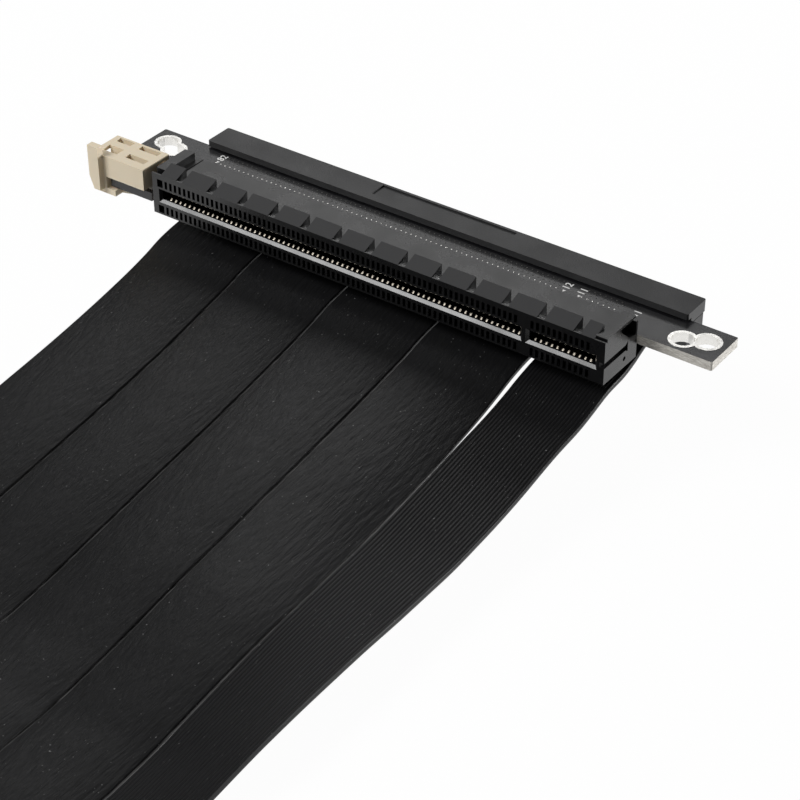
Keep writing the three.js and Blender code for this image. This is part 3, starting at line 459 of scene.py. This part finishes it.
RIB_HEIGHT = 0.16
RIB_POINTS = (0.0, 0.17, 0.36, 0.64, 0.83)  # places across one rib, as shares of its pitch
FILM_EDGE = 0.28
RIBBED = 4  # the last ribbon shows its wires


def sheet_slope(row, edge):
    """The sheet's slope at a row, chosen so that the curve never passes over or under its points."""
    if row in (0, len(SHEET) - 1):
        return 0.0
    before, here, after = SHEET[row - 1 : row + 2]
    arriving = (here[edge] - before[edge]) / (here[0] - before[0])
    leaving = (after[edge] - here[edge]) / (after[0] - here[0])
    return 0.0 if arriving * leaving <= 0 else 2 * arriving * leaving / (arriving + leaving)


def sheet_height(row, t, edge):
    """The sheet's height a share t of the way from a row to the next."""
    start, end = SHEET[row], SHEET[row + 1]
    span = end[0] - start[0]
    return (
        (2 * t**3 - 3 * t**2 + 1) * start[edge]
        + (t**3 - 2 * t**2 + t) * span * sheet_slope(row, edge)
        + (3 * t**2 - 2 * t**3) * end[edge]
        + (t**3 - t**2) * span * sheet_slope(row + 1, edge)
    )


def film_section(width):
    """A flat strip's outline with rounded edges, as across and up pairs."""
    half, thick, round_off = width / 2, RIBBON_THICKNESS / 2, FILM_EDGE
    corners = []
    for side, end, start in ((1, -1, -90), (1, 1, 0), (-1, 1, 90), (-1, -1, 180)):
        for k in range(4):
            angle = math.radians(start + 30 * k)
            across = side * (half - round_off) + round_off * math.cos(angle)
            up = end * (thick - round_off) + round_off * math.sin(angle)
            corners.append((across, up))
    return corners


def ribbed_section(width):
    """A row of round wires side by side under one film: scallops along the top and the bottom."""
    thick = RIBBON_THICKNESS / 2
    count = round(width / RIB_PITCH)
    pitch = width / count
    top = []
    for k in range(count):
        for t in RIB_POINTS:
            dip = RIB_HEIGHT * (1 - math.sqrt(max(0.0, 1 - (2 * t - 1) ** 2)))
            top.append((-width / 2 + (k + t) * pitch, thick - dip))
    top.append((width / 2, thick - RIB_HEIGHT))
    return [(across, -up) for across, up in top] + [(across, up) for across, up in reversed(top)]


def ribbon_path(index, middle):
    """Places along the ribbon's middle line, each with how much the right edge stands higher."""
    spread = LAST_RIBBON_SPREAD if index == len(RIBBON_WIDTHS) - 1 else 0.0
    stations = []
    for row in range(len(SHEET) - 1):
        near, far = SHEET[row][0], SHEET[row + 1][0]
        count = math.ceil((near - far) / STEP_MM)
        last = row == len(SHEET) - 2
        for k in range(count + 1 if last else count):
            t = k / count
            y = near + (far - near) * t
            opened = min(max((y - SPREAD_CLOSED_Y) / (SPREAD_OPEN_Y - SPREAD_CLOSED_Y), 0.0), 1.0)
            aside = spread * opened * opened * (3 - 2 * opened)
            left = sheet_height(row, t, index + 1)
            right = sheet_height(row, t, index + 2)
            stations.append((Vector((middle + aside, y, (left + right) / 2)), right - left))
    return stations


def make_ribbon(index, left, width):
    """One ribbon, lofted along its route and set in place of its CAD node."""
    ribbed = index == RIBBED
    section = ribbed_section(width) if ribbed else film_section(width)
    stations = ribbon_path(index, left + width / 2)
    mesh = bpy.data.meshes.new(f"ribbon_{index + 1}_film")
    bm = bmesh.new()
    rings = []
    for k, (place, rise) in enumerate(stations):
        ahead = stations[min(k + 1, len(stations) - 1)][0] - stations[max(k - 1, 0)][0]
        across = Vector((width, 0, rise)).normalized()
        up = across.cross(Vector((0, ahead.y, ahead.z)).normalized())
        up = -up if up.z < 0 else up
        up.normalize()
        rings.append([bm.verts.new(slot_point(*(place + across * u + up * v))) for u, v in section])
    count = len(section)
    for near, far in zip(rings, rings[1:]):
        for k in range(count):
            bm.faces.new((near[k], near[(k + 1) % count], far[(k + 1) % count], far[k]))
    bm.faces.new(list(reversed(rings[0])))
    bm.faces.new(rings[-1])
    bmesh.ops.recalc_face_normals(bm, faces=bm.faces[:])
    bm.to_mesh(mesh)
    bm.free()
    for face in mesh.polygons:
        face.use_smooth = True
    mesh.materials.append(ribbed_film if ribbed else smooth_film)
    made = bpy.data.objects.new(f"ribbon_{index + 1}_film", mesh)
    bpy.context.scene.collection.objects.link(made)
    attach(made, "main")
    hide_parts(f"ribbon_{index + 1}")


ribbon_left = RIBBON_LEFT
for index, width in enumerate(RIBBON_WIDTHS):
    make_ribbon(index, ribbon_left, width)
    ribbon_left += width + RIBBON_GAP


# Small things on the slot board

BOARD_TOP_Z = -0.3
VIA_ROW_Y = 14.35
VIA_RADIUS = 0.17
VIA_HEIGHT = 0.05
VIA_FIRST_X = 2.0
VIA_LAST_X = 71.4  # the last of the long group
VIA_LONG_COUNT = 70
VIA_GROUPS = ((VIA_FIRST_X, VIA_LONG_COUNT), (76.1, 7))
VIA_PITCH = (VIA_LAST_X - VIA_FIRST_X) / (VIA_LONG_COUNT - 1)
TENTED_ROWS_Y = (15.35, 16.05, 16.75)
TENTED_RADIUS = 0.16


def new_object(name, bm, material, smooth=True):
    """Turns a bmesh into a piece that rides on the main body."""
    mesh = bpy.data.meshes.new(name)
    bm.to_mesh(mesh)
    bm.free()
    for face in mesh.polygons:
        face.use_smooth = smooth
    mesh.materials.append(material)
    made = bpy.data.objects.new(name, mesh)
    bpy.context.scene.collection.objects.link(made)
    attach(made, "main")


def add_dome(bm, place, radius_mm, height_mm, sides=10):
    """A flat-bottomed dome of solder or mask at a place of the slot's frame."""
    rings = []
    for share, lift in ((1.0, 0.0), (0.75, 0.65), (0.4, 0.93)):
        ring = []
        for k in range(sides):
            angle = 2 * math.pi * k / sides
            offset = Vector((math.cos(angle), math.sin(angle), 0)) * radius_mm * share
            corner = Vector(place) + offset + Vector((0, 0, height_mm * lift))
            ring.append(bm.verts.new(slot_point(*corner)))
        rings.append(ring)
    top = bm.verts.new(slot_point(place[0], place[1], place[2] + height_mm))
    for lower, upper in zip(rings, rings[1:]):
        for k in range(sides):
            bm.faces.new((lower[k], lower[(k + 1) % sides], upper[(k + 1) % sides], upper[k]))
    for k in range(sides):
        bm.faces.new((rings[-1][k], rings[-1][(k + 1) % sides], top))
    bm.faces.new(list(reversed(rings[0])))


solder = bmesh.new()
for first, count in VIA_GROUPS:
    for k in range(count):
        add_dome(solder, (first + k * VIA_PITCH, VIA_ROW_Y, BOARD_TOP_Z), VIA_RADIUS, VIA_HEIGHT)
new_object("solder_dots", solder, tinned)

# Tented vias, whose pale grey is a painted highlight
tents = bmesh.new()
for row, row_y in enumerate(TENTED_ROWS_Y):
    for first, count in VIA_GROUPS:
        for k in range(count):
            x = first + (k + 0.5 * (row % 2)) * VIA_PITCH
            add_dome(tents, (x, row_y, BOARD_TOP_Z), TENTED_RADIUS, VIA_HEIGHT, 8)
new_object("masked_dots", tents, masked_copper_and_highlight)


MARK_HEIGHT = 1.3
FONT_PER_HEIGHT = 1.42  # the font's size over the height of its numerals
MARK_LIFT = 0.015
POINTER = ((-0.95, 0.42, 0.01), (-0.35, 0.1, 0.01), (-0.35, 0.75, 0.01))


def board_mark(text, x, y):
    """Printed numerals that read towards the back, with a small pointer before them."""
    name = f"mark_{text}"
    curve = bpy.data.curves.new(name, "FONT")
    curve.body = text
    curve.size = MARK_HEIGHT * FONT_PER_HEIGHT * MM
    curve.extrude = 0.01 * MM
    curve.space_character = 1.05
    curve.offset = 0.03 * MM
    letters = bpy.data.objects.new(name + "_letters", curve)
    bpy.context.scene.collection.objects.link(letters)
    bpy.context.view_layer.update()
    mesh = bpy.data.meshes.new_from_object(letters)
    bpy.data.objects.remove(letters)
    bm = bmesh.new()
    bm.from_mesh(mesh)
    bm.faces.new([bm.verts.new(Vector(corner) * MM) for corner in POINTER])
    place = Matrix.Translation(slot_point(x, y, BOARD_TOP_Z + MARK_LIFT))
    quarter_turn = Matrix.Rotation(math.pi / 2, 4, "Z")
    bmesh.ops.transform(bm, verts=bm.verts[:], matrix=place @ quarter_turn)
    new_object(name, bm, ink, smooth=False)


board_mark("82", 2.55, 15.2)
board_mark("12", 73.2, 14.9)
board_mark("11", 76.0, 14.9)
board_mark("1", 86.2, 15.3)


# The floor, the light and the white surroundings

FLOOR_SIZE = 4.0
GLOW_SHARE = 0.97  # of the floor as it is seen; the rest is paper, which takes the shadow
ROOM_STRENGTH = 0.08

floor_mesh = bpy.data.meshes.new("floor")
half = FLOOR_SIZE / 2
floor_mesh.from_pydata(
    [(-half, -half, 0), (half, -half, 0), (half, half, 0), (-half, half, 0)], [], [(0, 1, 2, 3)]
)
floor = bpy.data.objects.new("floor", floor_mesh)
bpy.context.scene.collection.objects.link(floor)

white_paper, tree, paper = start_material("white_paper", Base_Color=linear("f4f4f4"), Roughness=0.9)
seen = add(tree, "LightPath")
white_glow = add(tree, "Emission", Color=(1, 1, 1, 1), Strength=1.0)
to_eye = add(
    tree,
    "Math",
    {"operation": "MAXIMUM"},
    i0=seen.outputs["Is Camera Ray"],
    i1=seen.outputs["Is Glossy Ray"],
)
share = add(tree, "Math", {"operation": "MULTIPLY"}, i0=to_eye.outputs[0], i1=GLOW_SHARE)
shaders = {"i1": paper.outputs[0], "i2": white_glow.outputs[0]}
paper_mix = add(tree, "MixShader", Fac=share.outputs[0], **shaders)
tree.links.new(paper_mix.outputs[0], tree.nodes["Material Output"].inputs["Surface"])
floor_mesh.materials.append(white_paper)

world = bpy.data.worlds.new("surroundings")
bpy.context.scene.world = world
world.use_nodes = True
tree = world.node_tree
tree.nodes.clear()
seen = add(tree, "LightPath")
room = add(tree, "Background", Color=linear("ffffff"), Strength=ROOM_STRENGTH)
backdrop = add(tree, "Background", Color=(1, 1, 1, 1), Strength=1.0)
shaders = {"i1": room.outputs[0], "i2": backdrop.outputs[0]}
world_mix = add(tree, "MixShader", Fac=seen.outputs["Is Camera Ray"], **shaders)
add(tree, "OutputWorld", Surface=world_mix.outputs[0])


def soft_box(name, place, aim, size, power):
    """A rectangular studio light that faces a point: its size in metres, its power in watts."""
    data = bpy.data.lights.new(name, "AREA")
    data.shape = "RECTANGLE"
    data.size, data.size_y = size
    data.energy = power
    made = bpy.data.objects.new(name, data)
    made.location = place
    made.rotation_euler = (Vector(aim) - Vector(place)).to_track_quat("-Z", "Y").to_euler()
    bpy.context.scene.collection.objects.link(made)


# The back light lies flat above the table and gives the sheen that the camera sees
middle = slot_point(44, 5, 0)
back_place, back_aim = slot_point(-240, 335, 340), slot_point(-240, 335, 0)
soft_box("back_light", back_place, back_aim, (0.36, 0.33), 0.79)
soft_box("main_light", middle + Vector((-0.55, -0.62, 0.75)), middle, (0.5, 0.5), 10)
soft_box("side_light", middle + Vector((0.5, 0.55, 0.1)), middle, (0.4, 0.2), 6.0)
